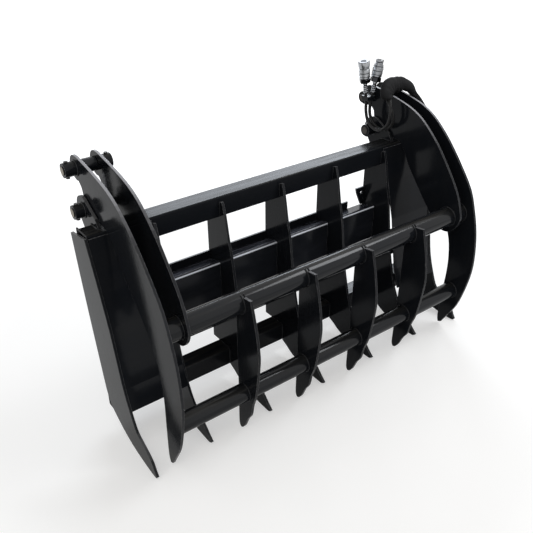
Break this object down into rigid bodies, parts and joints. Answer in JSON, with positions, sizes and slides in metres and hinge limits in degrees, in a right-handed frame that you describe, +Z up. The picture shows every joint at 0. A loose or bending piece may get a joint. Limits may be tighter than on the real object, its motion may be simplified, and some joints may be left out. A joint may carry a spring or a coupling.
{
  "type": "grapple rake",
  "caption": "Welded rake of curved tines for a loader, with a tined jaw that two hydraulic cylinders swing open and shut.",
  "frame": {"origin": "on the hitch plate's rear face, where the loader's coupler bears: midway across it, 222.5 mm below its top edge", "axes": "+X along the beams, +Y back towards the loader, +Z up; the tine tips point to -Y"},
  "size_m": [2.028, 0.8252, 1.4617],
  "materials": {
    "black_paint": "gloss black",
    "plated_steel": "zinc plated",
    "rod_chrome": "polished",
    "coupler_chrome": "plated",
    "hose_rubber": "matte",
    "woven_sleeve": "woven nylon"
  },
  "bodies": {
    "frame": {"top_beam": "black_paint", "lower_beam": "black_paint", "side_plate_left": "black_paint", "side_plate_right": "black_paint", "frame_tine_1": "black_paint", "frame_tine_2": "black_paint", "frame_tine_3": "black_paint", "frame_tine_4": "black_paint", "frame_tine_5": "black_paint", "guard_left": "black_paint", "guard_right": "black_paint", "front_plate_1": "black_paint", "front_plate_2": "black_paint", "front_plate_3": "black_paint", "front_plate_4": "black_paint", "hitch_plate": "black_paint", "hitch_rib_left": "black_paint", "hitch_rib_right": "black_paint", "hose_bracket": "black_paint", "bracket_outer_left": "black_paint", "bracket_outer_right": "black_paint", "bracket_inner_left": "black_paint", "bracket_inner_right": "black_paint", "pivot_pin_left": "plated_steel", "pivot_pin_right": "plated_steel", "pivot_bolts": "plated_steel", "cylinder_mount_left": "black_paint", "cylinder_mount_right": "black_paint", "base_pin_left": "plated_steel", "base_pin_right": "plated_steel"},
    "jaw": {"arm_outer_left": "black_paint", "arm_outer_right": "black_paint", "arm_inner_left": "black_paint", "arm_inner_right": "black_paint", "jaw_upper_tube": "black_paint", "jaw_lower_tube": "black_paint", "jaw_tine_1": "black_paint", "jaw_tine_2": "black_paint", "jaw_tine_3": "black_paint", "jaw_tine_4": "black_paint", "pivot_hubs_left": "black_paint", "pivot_hubs_right": "black_paint", "rod_pin_left": "plated_steel", "rod_pin_right": "plated_steel", "rod_pin_bolts": "plated_steel", "hose_a": "hose_rubber", "hose_b": "hose_rubber", "coupler_a": "coupler_chrome", "coupler_b": "coupler_chrome", "hose_sleeve": "woven_sleeve", "hose_elbows": "plated_steel", "hose_clamp": "plated_steel"},
    "rod_left": {"rod_left": "rod_chrome"},
    "barrel_left": {"gland_left": "black_paint", "barrel_left": "black_paint"},
    "rod_right": {"rod_right": "rod_chrome"},
    "barrel_right": {"gland_right": "black_paint", "barrel_right": "black_paint"}
  },
  "joints": [
    {"name": "jaw_hinge", "type": "hinge", "parent": "frame", "child": "jaw", "pos_m": [0, 0.0504, 0.5925], "axis": [-1, 0, 0], "range_deg": [0, 45]},
    {"name": "rod_swing_left", "type": "hinge", "parent": "jaw", "child": "rod_left", "pos_m": [-0.86615, 0.1074, 0.7615], "axis": [1, 0, 0], "range_deg": [0, 37.2]},
    {"name": "cylinder_stroke_left", "type": "slide", "parent": "rod_left", "child": "barrel_left", "axis": [0, 0.0908, 0.9959], "range_m": [0, 0.0665]},
    {"name": "rod_swing_right", "type": "hinge", "parent": "jaw", "child": "rod_right", "pos_m": [0.86615, 0.1074, 0.7615], "axis": [1, 0, 0], "range_deg": [0, 37.2]},
    {"name": "cylinder_stroke_right", "type": "slide", "parent": "rod_right", "child": "barrel_right", "axis": [0, 0.0908, 0.9959], "range_m": [0, 0.0665]}
  ],
  "couplings": [
    {"joint": "rod_swing_left", "follows": "jaw_hinge", "ratio": 0.825},
    {"joint": "cylinder_stroke_left", "follows": "jaw_hinge", "m_per_rad": 0.0842},
    {"joint": "rod_swing_right", "follows": "jaw_hinge", "ratio": 0.825},
    {"joint": "cylinder_stroke_right", "follows": "jaw_hinge", "m_per_rad": 0.0842}
  ]
}
